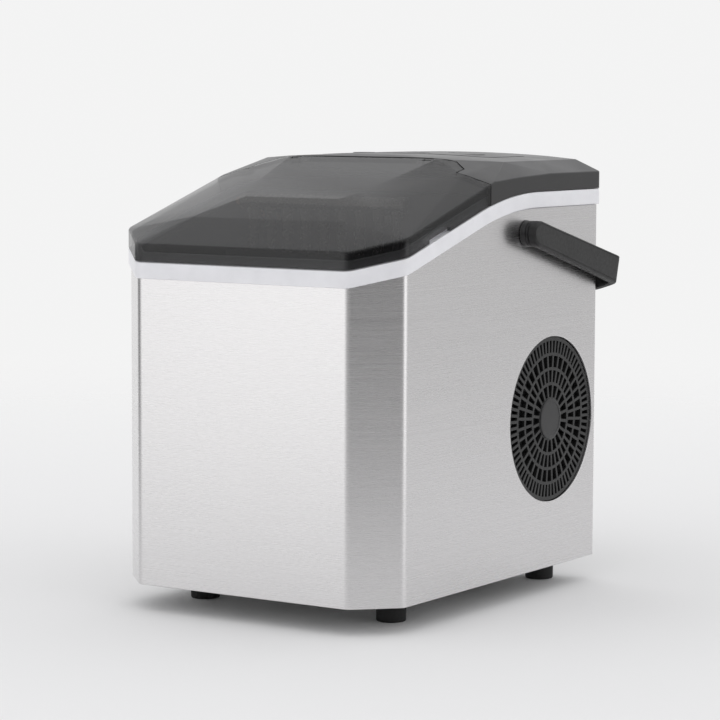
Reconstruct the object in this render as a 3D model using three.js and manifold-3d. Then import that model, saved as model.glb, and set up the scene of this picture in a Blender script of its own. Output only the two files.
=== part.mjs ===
// Countertop bullet-ice maker: brushed steel case, white band, smoky lid, bail handle.
// Millimetres, +Z up. The front faces -Y and the round vent is on the right, +X.
// Inside this file Y = 0 is the front face of the case; the last group centres the whole.
import * as THREE from 'three';
import { mergeVertices } from 'three/addons/utils/BufferGeometryUtils.js';
import { ConvexGeometry } from 'three/addons/geometries/ConvexGeometry.js';
import Module from 'manifold-3d';

const wasm = await Module();
wasm.setup();

// ---------------------------------------------------------------- driving dimensions
const gap = 0.4; // clearance between pieces that touch on the real machine

const bodyWidth = 224;
const bodyDepth = 286;
const frontChamfer = 27; // leg of the 45 degree front corners
const caseEdgeRadius = 8;
const rearEdgeRadius = 4;
const sheet = 0.8; // steel wall of the case

const footHeight = 18;
const footRadius = 10.3;
const footInsetX = 34.9; // foot centre from the side face
const footInsetFront = 65.3;
const footInsetRear = 19.8;

const frontBandTop = 238.2; // top of the white band at the front face
const rearBandTop = 284; // top of the white band over the level rear
const deckDepth = 129.2; // from the knee, where the slope ends, to the rear
const kneeRadius = 280;
const bandHeight = 11;
const bandOverhang = 1.8;
const bandWidth = 6; // inwards from the case face
const tongueDepth = 6;
const tongueWidth = 2;
const upstandFace = -3.2; // the band's inner rib, behind the skirt of the lid
const upstandWall = 1.4;
const upstandHeight = 5;

const topWall = 2.5; // lid and top cover
const skirtFront = 12.8; // lid skirt above the band at the front
const frameRise = 20.8; // lower window outline above the band line
const windowRise = 25.8; // upper window outline above the band line
const crownRise = 25; // middle of the flat top above the rear band
const crownDrop = 0.0004; // sideways fall of the top, per mm squared
const lidShoulder = 26.8; // the lid's side rear edge, ahead of the knee
const lidTail = 6.8; // the lid's middle rear edge, ahead of the knee
const lidSeam = 0.8; // gap between lid and top cover
const hingeRadius = 3.4; // rounding of the lid's rear edge about its axis
const pinRadius = 1.6;
const fingerSlot = { start: 52, length: 26, height: 2.5 };

const handlePivot = { fromRear: 105, height: 255.7 };
const handleDroop = 15; // degrees below level at rest
const handleReach = 121.5; // pivot to the outer face of the grip
const handleThickness = 6;
const handleGap = 7; // case side to the inner face of the arm
const armWidth = 18;
const gripHeight = 31;
const gripEndHeight = 20; // where the grip turns into the arms
const channelWall = 2.2; // rim left round the hollow inner faces of the handle
const bossRadius = 9;

const ventCentre = { fromRear: 65.2, height: 123.3 };
const ventRadius = 58.4;
const ventHub = 14.5;
const ventLip = { depth: 2.2, width: 1 }; // turned-in rim of the hole in the case
const ventRecess = 1.6; // case face to the face of the grille
const grilleThickness = 2.4;
const ventRings = [0.24, 0.426, 0.606, 0.783, 0.965]; // shares of the vent radius
const ventSpokes = [12, 16, 20, 32];

const tubWall = 2.5;
const tubInset = 14; // case face to the outside of the ice tub
const tubFloor = 70;
const tubRear = 167;
const foamFloor = 60;

const halfWidth = bodyWidth / 2;
const kneeY = bodyDepth - deckDepth;
const bandSlope = (rearBandTop - frontBandTop) / kneeY;
const lidShoulderY = kneeY - lidShoulder;
const lidRearY = kneeY - lidTail;
const hingeY = lidRearY - hingeRadius;
const hingeZ = frontBandTop + bandSlope * hingeY + windowRise - hingeRadius;
const pivotY = bodyDepth - handlePivot.fromRear;
const pivotZ = handlePivot.height;
const ventY = bodyDepth - ventCentre.fromRear;
const ventZ = ventCentre.height;
const caseTopLimit = rearBandTop + crownRise + 20;
const grilleOuter = halfWidth - ventLip.depth - gap;
const grilleInner = grilleOuter - grilleThickness;

// ---------------------------------------------------------------- solids
function solid(geometry) {
  geometry.deleteAttribute('normal');
  geometry.deleteAttribute('uv');
  const merged = mergeVertices(geometry, 1e-4);
  const index = merged.index.array;
  const triangles = [];
  for (let i = 0; i < index.length; i += 3) {
    const [a, b, c] = [index[i], index[i + 1], index[i + 2]];
    if (a !== b && b !== c && c !== a) triangles.push(a, b, c);
  }
  return new wasm.Manifold(new wasm.Mesh({
    numProp: 3,
    vertProperties: Float32Array.from(merged.attributes.position.array),
    triVerts: Uint32Array.from(triangles),
  }));
}

function geometryOf(shape) {
  const mesh = shape.getMesh();
  const geometry = new THREE.BufferGeometry();
  geometry.setAttribute('position', new THREE.BufferAttribute(mesh.vertProperties, 3));
  geometry.setIndex(new THREE.BufferAttribute(mesh.triVerts, 1));
  return geometry;
}

const join = (...shapes) => shapes.reduce((all, shape) => all.add(shape));
const cut = (shape, ...tools) => tools.reduce((left, tool) => left.subtract(tool), shape);

function box(x0, x1, y0, y1, z0, z1) {
  const geometry = new THREE.BoxGeometry(x1 - x0, y1 - y0, z1 - z0);
  return solid(geometry.translate((x0 + x1) / 2, (y0 + y1) / 2, (z0 + z1) / 2));
}

// A round bar along x, y or z; a and b are its place on the other two axes, in xyz order.
function rod(axis, radius, from, to, a, b, sides = 16) {
  const geometry = new THREE.CylinderGeometry(radius, radius, to - from, sides);
  const middle = (from + to) / 2;
  if (axis === 'z') geometry.rotateX(Math.PI / 2).translate(a, b, middle);
  if (axis === 'y') geometry.translate(a, middle, b);
  if (axis === 'x') geometry.rotateZ(-Math.PI / 2).translate(middle, a, b);
  return solid(geometry);
}

function extrude(outline, depth) {
  const shape = new THREE.Shape(outline);
  return new THREE.ExtrudeGeometry(shape, { depth, bevelEnabled: false, steps: 1 });
}

// A plan outline in x, y raised from z0 to z1.
const plate = (outline, z0, z1) => solid(extrude(outline, z1 - z0).translate(0, 0, z0));

// A side outline in y, z run from x0 to x1.
function sidePlate(outline, x0, x1) {
  const toSide = new THREE.Matrix4().makeBasis(
    new THREE.Vector3(0, 1, 0), new THREE.Vector3(0, 0, 1), new THREE.Vector3(1, 0, 0));
  return solid(extrude(outline, x1 - x0).applyMatrix4(toSide).translate(x0, 0, 0));
}

// A front outline in x, z run from y0 to y1.
const frontPlate = (outline, y0, y1) =>
  solid(extrude(outline, y1 - y0).rotateX(Math.PI / 2).translate(0, y1, 0));

// A closed profile of [radius, height] turned about the z axis at x, y.
function turned(profile, x, y, sides = 24) {
  const points = profile.map(([radius, height]) => new THREE.Vector2(radius, height));
  return solid(new THREE.LatheGeometry(points, sides).rotateX(Math.PI / 2).translate(x, y, 0));
}

function pipe(points, radius, steps = 24, sides = 8) {
  const path = new THREE.CatmullRomCurve3(points.map((p) => new THREE.Vector3(...p)), false,
    'centripetal');
  const ring = new THREE.Shape();
  ring.absarc(0, 0, radius, 0, 2 * Math.PI);
  return solid(new THREE.ExtrudeGeometry(ring, {
    extrudePath: path, steps, curveSegments: sides / 2, bevelEnabled: false,
  }));
}

// Corners are [x, y, radius]; each round corner becomes an arc of short chords.
function roundedOutline(corners, chord = Math.PI / 8) {
  const points = [];
  corners.forEach(([x, y, radius], i) => {
    const corner = new THREE.Vector2(x, y);
    if (!radius) {
      points.push(corner);
      return;
    }
    const last = corners[(i + corners.length - 1) % corners.length];
    const next = corners[(i + 1) % corners.length];
    const back = new THREE.Vector2(last[0], last[1]).sub(corner).normalize();
    const onward = new THREE.Vector2(next[0], next[1]).sub(corner).normalize();
    const half = Math.acos(back.dot(onward)) / 2;
    const centre = back.clone().add(onward).normalize()
      .multiplyScalar(radius / Math.sin(half)).add(corner);
    const start = back.clone().multiplyScalar(radius / Math.tan(half)).add(corner).sub(centre);
    const end = onward.clone().multiplyScalar(radius / Math.tan(half)).add(corner).sub(centre);
    const sweep = Math.atan2(start.cross(end), start.dot(end));
    const steps = Math.max(2, Math.ceil(Math.abs(sweep) / chord));
    for (let k = 0; k <= steps; k += 1) {
      points.push(start.clone().rotateAround(new THREE.Vector2(), (sweep * k) / steps).add(centre));
    }
  });
  return points;
}

function roundedBar(x0, x1, y0, y1, radius, frontRadius = radius) {
  return roundedOutline([
    [x0, y0, frontRadius], [x1, y0, frontRadius], [x1, y1, radius], [x0, y1, radius],
  ], Math.PI / 8);
}

// ---------------------------------------------------------------- shared forms
// The plan of the case, grown outwards or, when negative, inwards.
function caseOutline(grow) {
  const side = halfWidth + grow;
  const step = grow * (Math.SQRT2 - 1);
  const cornerX = halfWidth - frontChamfer + step;
  const cornerY = frontChamfer - step;
  const soft = Math.max(caseEdgeRadius + grow, 1);
  const hard = Math.max(rearEdgeRadius + grow, 1);
  return roundedOutline([
    [-cornerX, -grow, soft], [cornerX, -grow, soft], [side, cornerY, soft],
    [side, bodyDepth + grow, hard], [-side, bodyDepth + grow, hard], [-side, cornerY, soft],
  ]);
}

const casePrism = (grow, z0, z1) => plate(caseOutline(grow), z0, z1);

// Everything below the band's top line, raised or lowered by lift.
function below(lift) {
  const front = -40;
  const rear = bodyDepth + 40;
  return sidePlate(roundedOutline([
    [front, -10, 0], [rear, -10, 0], [rear, rearBandTop + lift, 0],
    [kneeY, rearBandTop + lift, kneeRadius],
    [front, frontBandTop + lift + bandSlope * front, 0],
  ], Math.PI / 90), -halfWidth - 30, halfWidth + 30);
}

const between = (shape, low, high) => shape.intersect(below(high)).subtract(below(low));

// The top edge of the skirt: it follows the slope, bends at the knee and runs level.
const skirtBends = [
  { y: kneeY - 19.8, z: rearBandTop + 9.1 },
  { y: kneeY + 12.2, z: rearBandTop + 11.3 },
  { y: kneeY + 55.2, z: rearBandTop + 13 },
];

function skirtTop(y) {
  const stations = [{ y: 0, z: frontBandTop + skirtFront }, ...skirtBends];
  const last = stations.at(-1);
  if (y >= last.y) return last.z;
  const next = Math.max(1, stations.findIndex((station) => station.y > y));
  const [a, b] = [stations[next - 1], stations[next]];
  return a.z + ((b.z - a.z) * (y - a.y)) / (b.y - a.y);
}

// Border widths, measured in from the case side, of the two window outlines.
const lowerWindow = [
  { border: 50, y: 31 }, { border: 37, y: 52 }, { border: 27, y: 98 },
  { border: 20, y: lidShoulderY },
];
const upperWindow = [
  { border: 74, y: 60 }, { border: 65, y: 76 }, { border: 56, y: 119 },
  { border: 51, y: lidRearY - 4 },
];
const shoulders = [
  { border: 1.4, front: kneeY + 18, rear: bodyDepth - 2, z: rearBandTop + 14 },
  { border: 12, front: kneeY + 15, rear: bodyDepth - 10, z: rearBandTop + 21 },
];
const crownSteps = [0, 25, 50, 75];

// The outer form of lid and cover together, or the hollow inside it when inset is given.
function topForm(inset) {
  const points = [];
  const both = (x, y, z) => {
    points.push(new THREE.Vector3(x, y, z - inset), new THREE.Vector3(-x, y, z - inset));
  };
  const plan = caseOutline(bandOverhang - inset);
  const side = halfWidth + bandOverhang - inset;
  plan.forEach((p) => {
    points.push(new THREE.Vector3(p.x, p.y, skirtTop(p.y) - inset));
    points.push(new THREE.Vector3(p.x, p.y, 0));
  });
  skirtBends.forEach((bend) => both(side, bend.y, bend.z));
  const bandLine = (y) => frontBandTop + bandSlope * y;
  lowerWindow.forEach(({ border, y }) => both(halfWidth - border, y, bandLine(y) + frameRise));
  upperWindow.forEach(({ border, y }) => both(halfWidth - border, y, bandLine(y) + windowRise));
  shoulders.forEach(({ border, front, rear, z }) => {
    both(halfWidth - border - inset, front, z);
    both(halfWidth - border - inset, rear - inset, z);
  });
  crownSteps.forEach((x) => {
    const top = rearBandTop + crownRise - crownDrop * x * x;
    both(x, kneeY + (x > 50 ? 8 : 1), top);
    both(x, bodyDepth - 7 - inset, top);
  });
  return solid(new ConvexGeometry(points));
}

// The lid's share of the top in plan, ahead of a stepped rear edge.
function lidPlan(back) {
  const wide = halfWidth + 20;
  const notch = notchX - back;
  const tail = barrelHalf - back / 2;
  const shoulder = lidShoulderY - back;
  return plate([
    [-wide, -20], [wide, -20], [wide, shoulder], [notch, shoulder], [notch, shoulder + 10],
    [tail, lidRearY - back], [-tail, lidRearY - back], [-notch, shoulder + 10],
    [-notch, shoulder], [-wide, shoulder],
  ].map(([x, y]) => new THREE.Vector2(x, y)), 0, caseTopLimit);
}

// ---------------------------------------------------------------- materials
const paint = (color, roughness, metalness = 0, extra = {}) =>
  new THREE.MeshStandardMaterial({ color, roughness, metalness, ...extra });
const brushedSteel = () => paint(0xc8c8c6, 0.34, 1);
const plainSteel = () => paint(0xa9abad, 0.4, 1);
const whiteTrim = () => paint(0xe6e6ea, 0.4);
const blackSatin = () => paint(0x2b2b2f, 0.45);
const blackGrain = () => paint(0x1f2022, 0.6);
const smoke = () => paint(0x34343a, 0.12, 0, { transparent: true, opacity: 0.6 });
const rubber = () => paint(0x131314, 0.85);
const tubPlastic = () => paint(0x3a3c42, 0.5);
const foam = () => paint(0xf1efe8, 0.95);
const clearPlastic = () => paint(0xb9c0c6, 0.3, 0, { transparent: true, opacity: 0.75 });
const nickel = () => paint(0xb8b4a8, 0.3, 1);
const copper = () => paint(0xb4714a, 0.35, 1);
const aluminium = () => paint(0xb5b8bb, 0.45, 1);
const compressorBlack = () => paint(0x18191b, 0.5, 0.3);
const greyPlastic = () => paint(0x6a6d72, 0.6);
const boardGreen = () => paint(0x1f5a3a, 0.6);
const hoseSilicone = () => paint(0xd8d6cf, 0.6);

const machine = new THREE.Group();

function add(name, shape, material, parent = machine) {
  const mesh = new THREE.Mesh(geometryOf(shape), material);
  mesh.name = name;
  parent.add(mesh);
  return mesh;
}

const sides = [['left', -1], ['right', 1]];

// ---------------------------------------------------------------- case
const drain = { y: 62, z: 84, headRadius: 9, boreRadius: 4, spoutRadius: 7 };
const rearOpening = { border: 16, bottom: 38, top: 240 };
const inletX = -66;
const inletZ = 62;
const inletRadius = 9;
const panelScrews = [[-88, 52], [88, 52], [-88, 230], [88, 230]];

function shell() {
  const wall = casePrism(0, footHeight, caseTopLimit).subtract(
    casePrism(-sheet, 0, caseTopLimit + 1));
  const trimmed = wall.intersect(below(-bandHeight - gap));
  const wide = halfWidth - rearOpening.border;
  const lip = rod('x', ventRadius + ventLip.width, halfWidth - ventLip.depth, halfWidth - sheet / 2,
    ventY, ventZ, 64);
  return cut(trimmed.add(lip),
    rod('x', ventRadius, halfWidth - 5, halfWidth + 5, ventY, ventZ, 64),
    rod('x', 3, -halfWidth - 5, halfWidth + 5, pivotY, pivotZ, 16),
    rod('x', drain.spoutRadius + 1, -halfWidth - 5, -halfWidth + 5, drain.y, drain.z, 20),
    box(-wide, wide, bodyDepth - 5, bodyDepth + 5, rearOpening.bottom, rearOpening.top));
}

const footPlaces = sides.flatMap(([side, sign]) => [
  { name: `foot_front_${side}`, x: sign * (halfWidth - footInsetX), y: footInsetFront },
  { name: `foot_rear_${side}`, x: sign * (halfWidth - footInsetX), y: bodyDepth - footInsetRear },
]);
const studRadius = 3;
const panThickness = 2.5;

function basePan() {
  const inside = -sheet - gap;
  const floor = casePrism(inside, footHeight, footHeight + panThickness);
  const rim = casePrism(inside, footHeight, footHeight + 12).subtract(
    casePrism(inside - 1.5, 0, footHeight + 13));
  const holes = footPlaces.map(({ x, y }) => rod('z', studRadius + gap, 0, 40, x, y, 16));
  const slots = [0, 1, 2, 3, 4].map((i) =>
    box(36, 90, 172 + 14 * i, 178 + 14 * i, 0, 25));
  return cut(floor.add(rim), ...holes, ...slots);
}

function foot(x, y) {
  const top = footHeight - 0.3;
  return turned([
    [0, 0], [footRadius - 1.3, 0], [footRadius - 0.5, 0.8], [footRadius, top - 3],
    [footRadius, top], [studRadius, top], [studRadius, footHeight + 6], [0, footHeight + 6],
  ], x, y, 16);
}

function rearPanel() {
  const wide = halfWidth - rearOpening.border - gap;
  const { bottom, top } = rearOpening;
  const face = box(-wide, wide, bodyDepth - 2, bodyDepth, bottom + gap, top - gap);
  const flange = box(-wide - 6, wide + 6, bodyDepth - 3.2, bodyDepth - sheet - gap,
    bottom - 6, top + 6);
  const louvres = [];
  for (let row = 0; row < 10; row += 1) {
    const z = 112 + 11 * row;
    louvres.push(box(-84, -8, bodyDepth - 6, bodyDepth + 1, z, z + 4));
    louvres.push(box(8, 84, bodyDepth - 6, bodyDepth + 1, z, z + 4));
  }
  const inlet = rod('y', inletRadius + gap, bodyDepth - 6, bodyDepth + 1, inletX, inletZ, 24);
  const screws = panelScrews.map(([x, z]) =>
    rod('y', 1.8 + gap, bodyDepth - 6, bodyDepth + 1, x, z, 12));
  return cut(face.add(flange), ...louvres, inlet, ...screws);
}

function cordGland() {
  const y = bodyDepth;
  const head = rod('y', inletRadius + 4, y + gap, y + 3, inletX, inletZ, 24);
  const neck = rod('y', inletRadius, y - 8, y + gap, inletX, inletZ, 24);
  const collar = rod('y', inletRadius - 2, y + 3, y + 7, inletX, inletZ, 24);
  return cut(join(head, neck, collar), rod('y', 3.6, y - 9, y + 8, inletX, inletZ, 16));
}

function panelScrew(x, z) {
  const y = bodyDepth;
  const head = rod('y', 3.6, y + gap, y + 2, x, z, 16);
  const shank = rod('y', 1.8, y - 8, y + gap, x, z, 12);
  const cross = join(box(x - 2, x + 2, y + 1.1, y + 3, z - 0.4, z + 0.4),
    box(x - 0.4, x + 0.4, y + 1.1, y + 3, z - 2, z + 2));
  return cut(head.add(shank), cross);
}

function trimBand() {
  const ring = casePrism(bandOverhang, 0, caseTopLimit).subtract(
    casePrism(-bandWidth, -1, caseTopLimit + 1));
  const outside = -sheet - gap;
  const tongue = casePrism(outside, 0, caseTopLimit).subtract(
    casePrism(outside - tongueWidth, -1, caseTopLimit + 1));
  const upstand = casePrism(upstandFace, 0, caseTopLimit).subtract(
    casePrism(upstandFace - upstandWall, -1, caseTopLimit + 1));
  return join(between(ring, -bandHeight, 0),
    between(tongue, -bandHeight - tongueDepth, -bandHeight + 1),
    between(upstand, -1, upstandHeight));
}

function ventGrille() {
  const face = halfWidth - ventRecess;
  const flange = rod('x', ventRadius + 5, grilleInner, grilleOuter, ventY, ventZ, 64);
  const disc = rod('x', ventRadius - gap, grilleInner, face, ventY, ventZ, 64);
  const hub = rod('x', ventHub, grilleInner, face + 0.8, ventY, ventZ, 36);
  const barRing = 1.4;
  const barSpoke = 1.5;
  const openings = [];
  ventSpokes.forEach((count, ring) => {
    const r0 = ventRings[ring] * ventRadius + (ring === 0 ? 0.8 : barRing / 2);
    const r1 = ventRings[ring + 1] * ventRadius - barRing / 2;
    for (let i = 0; i < count; i += 1) {
      openings.push(ventOpening(r0, r1, (2 * Math.PI * i) / count, Math.PI / count, barSpoke / 2));
    }
  });
  return openings.reduce((left, hole) => left.subtract(hole), join(flange, disc, hub));
}

// One four-sided opening between two spokes and two rings of the vent.
function ventOpening(r0, r1, angle, half, bar) {
  const corner = (r, sign) => {
    const turn = angle + sign * (half - bar / r);
    return new THREE.Vector2(ventY + r * Math.cos(turn), ventZ + r * Math.sin(turn));
  };
  return sidePlate([corner(r0, -1), corner(r1, -1), corner(r1, 1), corner(r0, 1)],
    halfWidth - 8, halfWidth + 2);
}

function drainPlug() {
  const face = -halfWidth;
  return join(
    rod('x', drain.headRadius, face - 4.5, face - gap, drain.y, drain.z, 24),
    rod('x', drain.boreRadius - gap, face - 1, -halfWidth + tubInset - 2, drain.y, drain.z, 16),
    rod('x', 3, face - 8, face - 4, drain.y, drain.z, 12));
}

// ---------------------------------------------------------------- lid and cover
const knuckle = { start: 52, width: 6 };
const barrelHalf = 74;
const notchX = 86;
const controls = { x: 72, front: kneeY + 40, rear: kneeY + 98, radius: 10 };
const buttons = [
  { name: 'power_button', x: -46, radius: 8.5 },
  { name: 'size_button', x: 0, radius: 8.5 },
  { name: 'clean_button', x: 46, radius: 8.5 },
];
const buttonY = (controls.front + controls.rear) / 2 - 6;
const lenses = [{ name: 'ice_full_lens', x: -14 }, { name: 'add_water_lens', x: 14 }];
const lensY = controls.rear - 12;

const skin = () => topForm(0).subtract(topForm(topWall));

function lid() {
  const cover = skin().intersect(lidPlan(0)).subtract(below(lidSeam));
  const barrel = rod('x', hingeRadius, -barrelHalf, barrelHalf, hingeY, hingeZ, 24)
    .intersect(topForm(0));
  const behind = box(-barrelHalf, barrelHalf, hingeY, lidRearY + 5, hingeZ - 30, caseTopLimit);
  const rounded = cut(cover, behind).add(barrel);
  const slots = sides.flatMap(([, sign]) => {
    const middle = sign * (knuckle.start + knuckle.width / 2);
    const half = knuckle.width / 2 + gap;
    const far = sign * (knuckle.start + knuckle.width + 8);
    const near = sign * (knuckle.start - 8);
    return [
      box(middle - half, middle + half, hingeY - hingeRadius - 1.4, lidRearY + 5,
        hingeZ - 30, caseTopLimit),
      rod('x', pinRadius + gap, Math.min(near, far), Math.max(near, far), hingeY, hingeZ, 16),
    ];
  });
  const { start, length, height } = fingerSlot;
  const grip = box(-halfWidth - 10, halfWidth + 10, start, start + length, 0, caseTopLimit)
    .intersect(below(lidSeam + height));
  return cut(rounded, ...slots, grip);
}

function hingePin(sign) {
  const near = sign * (knuckle.start - 7);
  const far = sign * (knuckle.start + knuckle.width + 7);
  return rod('x', pinRadius, Math.min(near, far), Math.max(near, far), hingeY, hingeZ, 16);
}

function topCover() {
  const rest = cut(skin(), lidPlan(-lidSeam), below(gap));
  const arms = sides.map(([, sign]) => {
    const a = sign * knuckle.start;
    const b = sign * (knuckle.start + knuckle.width);
    const [x0, x1] = [Math.min(a, b), Math.max(a, b)];
    const eye = rod('x', hingeRadius - 0.2, x0, x1, hingeY, hingeZ, 20);
    const stem = box(x0, x1, hingeY - 1, lidRearY + 6, hingeZ - 3.2, hingeZ - 0.8);
    return eye.add(stem);
  });
  const shelf = box(-66, 66, lidRearY + lidSeam + 0.2, lidRearY + 6, hingeZ - 3.2, hingeZ + 2);
  const window = plate(roundedBar(-controls.x - gap, controls.x + gap, controls.front - gap,
    controls.rear + gap, controls.radius + gap), 0, caseTopLimit);
  const bores = sides.map(([, sign]) => {
    const a = sign * (knuckle.start - 2);
    const b = sign * (knuckle.start + knuckle.width + 2);
    return rod('x', pinRadius + 0.3, Math.min(a, b), Math.max(a, b), hingeY, hingeZ, 16);
  });
  return cut(join(rest, shelf, ...arms), window, ...bores);
}

function controlPanel() {
  const proud = 0.3;
  const face = topForm(0).translate([0, 0, proud]).subtract(topForm(topWall));
  const outline = plate(roundedBar(-controls.x, controls.x, controls.front, controls.rear,
    controls.radius), 0, caseTopLimit);
  const holes = buttons.map(({ x, radius }) =>
    rod('z', radius + gap, 0, caseTopLimit, x, buttonY, 20));
  const lensHoles = lenses.map(({ x }) => rod('z', 2.4 + gap, 0, caseTopLimit, x, lensY, 16));
  return cut(face.intersect(outline), ...holes, ...lensHoles);
}

function button({ x, radius }) {
  const top = rearBandTop + crownRise - crownDrop * x * x;
  const cap = turned([
    [0, top - 5], [radius, top - 5], [radius, top + 0.2], [radius - 0.5, top + 0.6],
    [0, top + 0.6],
  ], x, buttonY, 20);
  return cap.add(rod('z', 2, boardTop + 2.6, top - 4, x, buttonY, 8));
}

const boardTop = rearBandTop + 10;
const lensOf = ({ x }) => {
  const top = rearBandTop + crownRise - crownDrop * x * x + 0.4;
  return rod('z', 2.4, boardTop + gap, top, x, lensY, 16);
};

function displayBoard() {
  const switches = buttons.map(({ x }) =>
    box(x - 3, x + 3, buttonY - 3, buttonY + 3, boardTop - 1, boardTop + 1.2));
  return join(box(-64, 64, controls.front + 6, controls.rear - 4, boardTop - 1.6, boardTop),
    ...switches);
}

// ---------------------------------------------------------------- handle
const armInner = halfWidth + handleGap;
const armOuter = armInner + handleThickness;
const armFace = 1.6; // skin left over the blind pivot bore

function handle() {
  const gripInner = handleReach - handleThickness;
  const plan = roundedOutline([
    [-armOuter, -armWidth / 2, 0], [-armInner, -armWidth / 2, 0], [-armInner, gripInner, 3],
    [armInner, gripInner, 3], [armInner, -armWidth / 2, 0], [armOuter, -armWidth / 2, 0],
    [armOuter, handleReach, 8], [-armOuter, handleReach, 8],
  ]);
  const bail = plate(plan, -gripHeight / 2, gripHeight / 2);
  const sideShape = roundedOutline([
    [-armWidth / 2, -armWidth / 2, armWidth / 2 - 0.01],
    [armWidth, -armWidth / 2, 20], [gripInner - 16, -gripEndHeight / 2, 20],
    [gripInner - 4, -gripEndHeight / 2, 3], [gripInner, -gripHeight / 2, 3],
    [handleReach + 1, -gripHeight / 2, 0], [handleReach + 1, gripHeight / 2, 0],
    [gripInner, gripHeight / 2, 3], [gripInner - 4, gripEndHeight / 2, 3],
    [gripInner - 16, gripEndHeight / 2, 20], [armWidth, armWidth / 2, 20],
    [-armWidth / 2, armWidth / 2, armWidth / 2 - 0.01],
  ]);
  const side = sidePlate(sideShape, -armOuter - 5, armOuter + 5);
  const frontShape = roundedOutline([
    [-armOuter, -gripEndHeight / 2, 0], [-halfWidth, -gripHeight / 2, 14],
    [halfWidth, -gripHeight / 2, 14], [armOuter, -gripEndHeight / 2, 0],
    [armOuter, gripEndHeight / 2, 0], [halfWidth, gripHeight / 2, 14],
    [-halfWidth, gripHeight / 2, 14], [-armOuter, gripEndHeight / 2, 0],
  ]);
  const front = frontPlate(frontShape, -armWidth, handleReach + 5);
  const hollowWide = halfWidth - 2;
  const hollowHigh = gripHeight / 2 - channelWall;
  const hollow = frontPlate(roundedBar(-hollowWide, hollowWide, -hollowHigh, hollowHigh, 4),
    gripInner - 3, handleReach - channelWall);
  const armHigh = armWidth / 2 - channelWall;
  const grooves = sides.map(([, sign]) => {
    const a = sign * (armInner - 2);
    const b = sign * (armOuter - channelWall);
    return box(Math.min(a, b), Math.max(a, b), armWidth - 2, gripInner - 8, -armHigh, armHigh);
  });
  const bore = rod('x', 3 + gap, -armOuter + armFace, armOuter - armFace, 0, 0, 16);
  return cut(bail.intersect(side).intersect(front), hollow, bore, ...grooves);
}

function handleBoss(sign) {
  const a = sign * (halfWidth + gap);
  const b = sign * (armInner - gap);
  const [x0, x1] = [Math.min(a, b), Math.max(a, b)];
  return cut(rod('x', bossRadius, x0, x1, pivotY, pivotZ, 28),
    rod('x', 3 + gap, x0 - 1, x1 + 1, pivotY, pivotZ, 16));
}

function pivotScrew(sign) {
  const seat = halfWidth - sheet - gap;
  const head = [seat - 2.4, seat];
  const shank = [seat - 1, armOuter - armFace - gap];
  const ordered = ([a, b]) => [Math.min(sign * a, sign * b), Math.max(sign * a, sign * b)];
  const [h0, h1] = ordered(head);
  const [s0, s1] = ordered(shank);
  const socket = ordered([seat - 3, seat - 1.2]);
  return cut(join(rod('x', 6, h0, h1, pivotY, pivotZ, 20),
    rod('x', 2.6, s0, s1, pivotY, pivotZ, 12)),
  rod('x', 2, socket[0], socket[1], pivotY, pivotZ, 6));
}

// ---------------------------------------------------------------- ice chamber
const basket = { x: 88, front: 22, rear: 87, floor: 100, rim: 165, wall: 2 };
const tray = { left: -80, right: 60, front: 94, rear: 138, floor: 218, y: 132, z: 246, wall: 2 };
const finger = { y: 110, radius: 4.2, tip: 232, manifold: 276, count: 9, pitch: 15, middle: -8 };
const hoseX = 14;
const suctionX = -86;
const lineZ = 262;

function iceTub() {
  const front = (grow, z0, rear) => casePrism(grow, z0, caseTopLimit).intersect(
    box(-halfWidth, halfWidth, -5, rear, 0, caseTopLimit + 1));
  const outer = front(-tubInset, tubFloor, tubRear);
  const inner = front(-tubInset - tubWall, tubFloor + tubWall, tubRear - tubWall);
  const flange = front(-bandWidth - gap, 0, tubRear + 6);
  const tub = join(outer.intersect(below(-0.5)), between(flange, -3, -0.5)).subtract(inner);
  const innerSide = halfWidth - tubInset - 1;
  const rails = sides.map(([, sign]) => {
    const a = sign * (basket.x - 6);
    const b = sign * innerSide;
    return box(Math.min(a, b), Math.max(a, b), basket.front, basket.rear, tubFloor + 1,
      basket.floor - gap).intersect(outer);
  });
  const spout = rod('x', drain.spoutRadius, -halfWidth + 1.5, -halfWidth + tubInset + 1,
    drain.y, drain.z, 20);
  return cut(join(tub, ...rails, spout),
    rod('x', drain.boreRadius, -halfWidth, -basket.x + 10, drain.y, drain.z, 16),
    rod('x', 3 + gap, -halfWidth, tray.left + 5, tray.y, tray.z, 16),
    rod('y', 5, tubRear - 8, tubRear + 8, hoseX, lineZ, 16),
    rod('y', 4, tubRear - 8, tubRear + 8, suctionX, lineZ, 16));
}

function insulation() {
  const outside = -sheet - gap - tongueWidth - 0.6;
  const block = casePrism(outside, foamFloor, caseTopLimit).intersect(
    box(-halfWidth, halfWidth, 0, tubRear + 3, 0, caseTopLimit));
  const hollow = casePrism(-tubInset + gap, tubFloor - gap, caseTopLimit).intersect(
    box(-halfWidth, halfWidth, 0, tubRear + gap, 0, caseTopLimit + 1));
  return cut(block.intersect(below(-bandHeight - tongueDepth - 1)), hollow,
    rod('x', drain.spoutRadius + 0.6, -halfWidth, -halfWidth + tubInset + 5, drain.y, drain.z, 20),
    rod('x', 4, -halfWidth, -halfWidth + tubInset + 5, tray.y, tray.z, 16),
    rod('x', ventRadius + 5.6, grilleInner - 0.6, halfWidth, ventY, ventZ, 64),
    rod('y', 5.6, tubRear - 1, tubRear + 8, hoseX, lineZ, 16),
    rod('y', 4.6, tubRear - 1, tubRear + 8, suctionX, lineZ, 16));
}

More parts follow.
